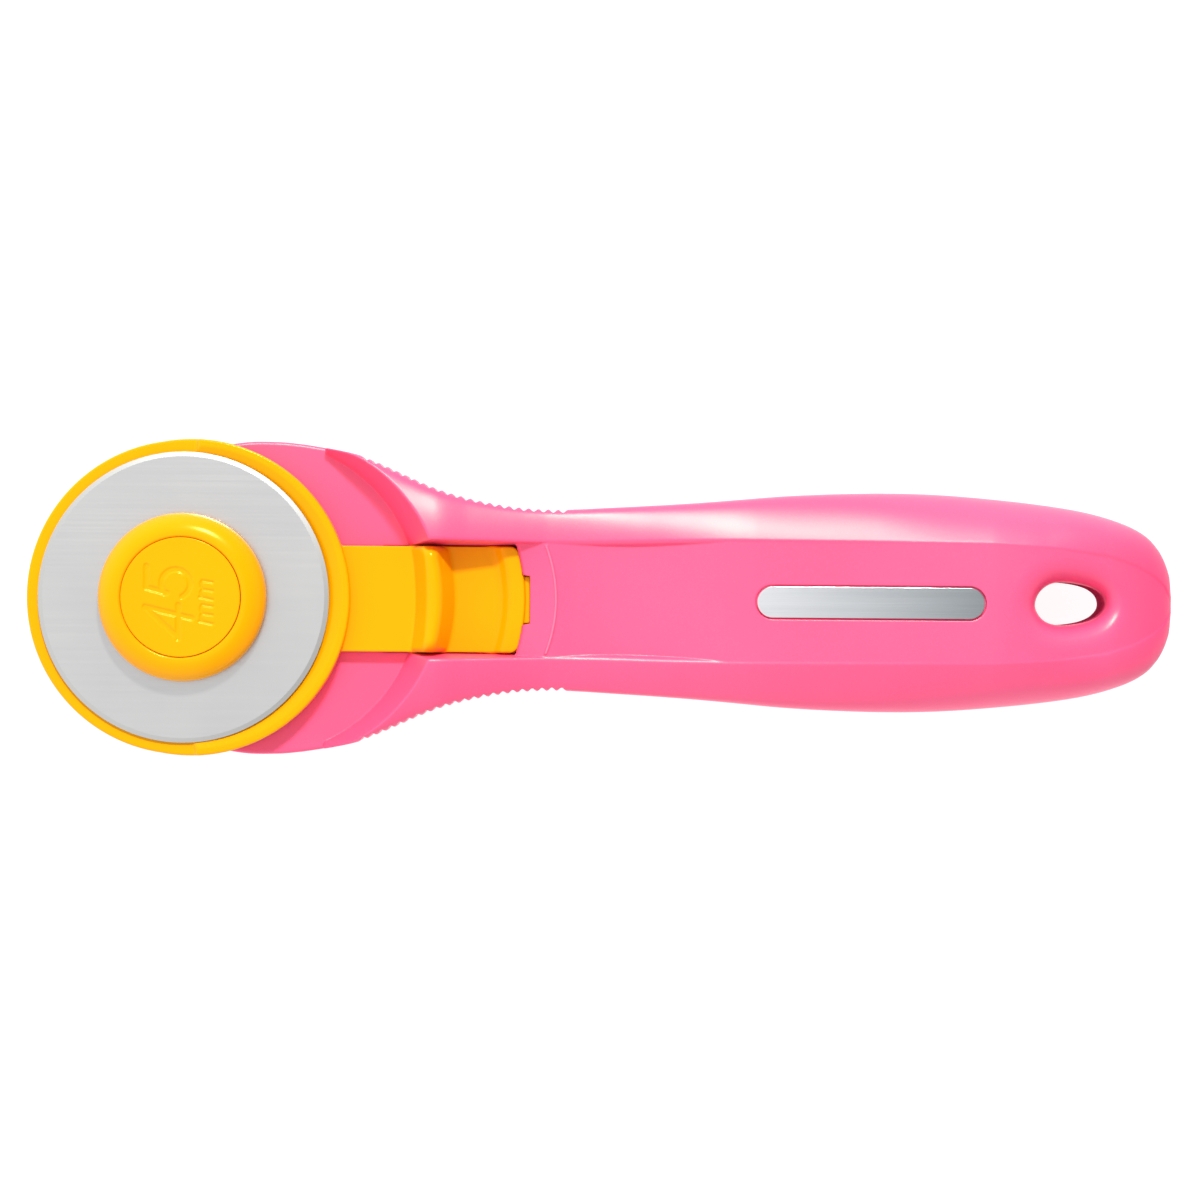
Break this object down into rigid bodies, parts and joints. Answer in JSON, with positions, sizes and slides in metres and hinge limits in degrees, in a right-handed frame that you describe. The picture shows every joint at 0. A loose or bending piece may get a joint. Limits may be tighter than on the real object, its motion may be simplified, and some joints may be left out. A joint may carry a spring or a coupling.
{
  "type": "rotary cutter",
  "caption": "Hand-held rotary cutter for cloth: a 45 mm round blade on a pull-out axle pin, a sliding blade guard and a hollow grip with a hanging hole.",
  "frame": {"origin": "centre of the footprint, on the flat back of the grip that the tool lies on", "axes": "+X from the blade to the tail of the grip, +Z out of the face that carries the blade, +Y completes the right-handed set"},
  "size_m": [0.178, 0.049, 0.021],
  "materials": {
    "grip_plastic": "pink ABS with a fine moulded grain",
    "yellow_plastic": "smooth satin-gloss yellow acetal",
    "blade_steel": "fine ground tool steel with a polished bevel",
    "pin_steel": "turned and zinc plated",
    "spring_steel": "drawn spring steel",
    "plate_metal": "lengthwise brushed"
  },
  "bodies": {
    "handle": {"handle_front_shell": "grip_plastic", "handle_back_shell": "grip_plastic", "name_plate": "plate_metal", "retaining_spring": "spring_steel", "detent_spring": "spring_steel", "handle_screw_1": "pin_steel", "handle_screw_2": "pin_steel", "handle_screw_3": "pin_steel", "handle_screw_4": "pin_steel"},
    "axle": {"axle_pin": "pin_steel", "cap_ring": "yellow_plastic", "cap_insert": "yellow_plastic", "curved_washer": "spring_steel"},
    "blade": {"blade": "blade_steel"},
    "guard": {"blade_guard": "yellow_plastic"}
  },
  "joints": [
    {"name": "guard_slide", "type": "slide", "parent": "handle", "child": "guard", "axis": [1, 0, 0], "range_m": [0, 0.0096]},
    {"name": "axle_pull", "type": "slide", "parent": "handle", "child": "axle", "axis": [0, 0, 1], "range_m": [0, 0.012], "deforming": ["retaining_spring"]},
    {"name": "blade_spin", "type": "hinge", "parent": "axle", "child": "blade", "pos_m": [-0.06465, 0, 0.01635], "axis": [0, 0, 1], "continuous": true}
  ]
}
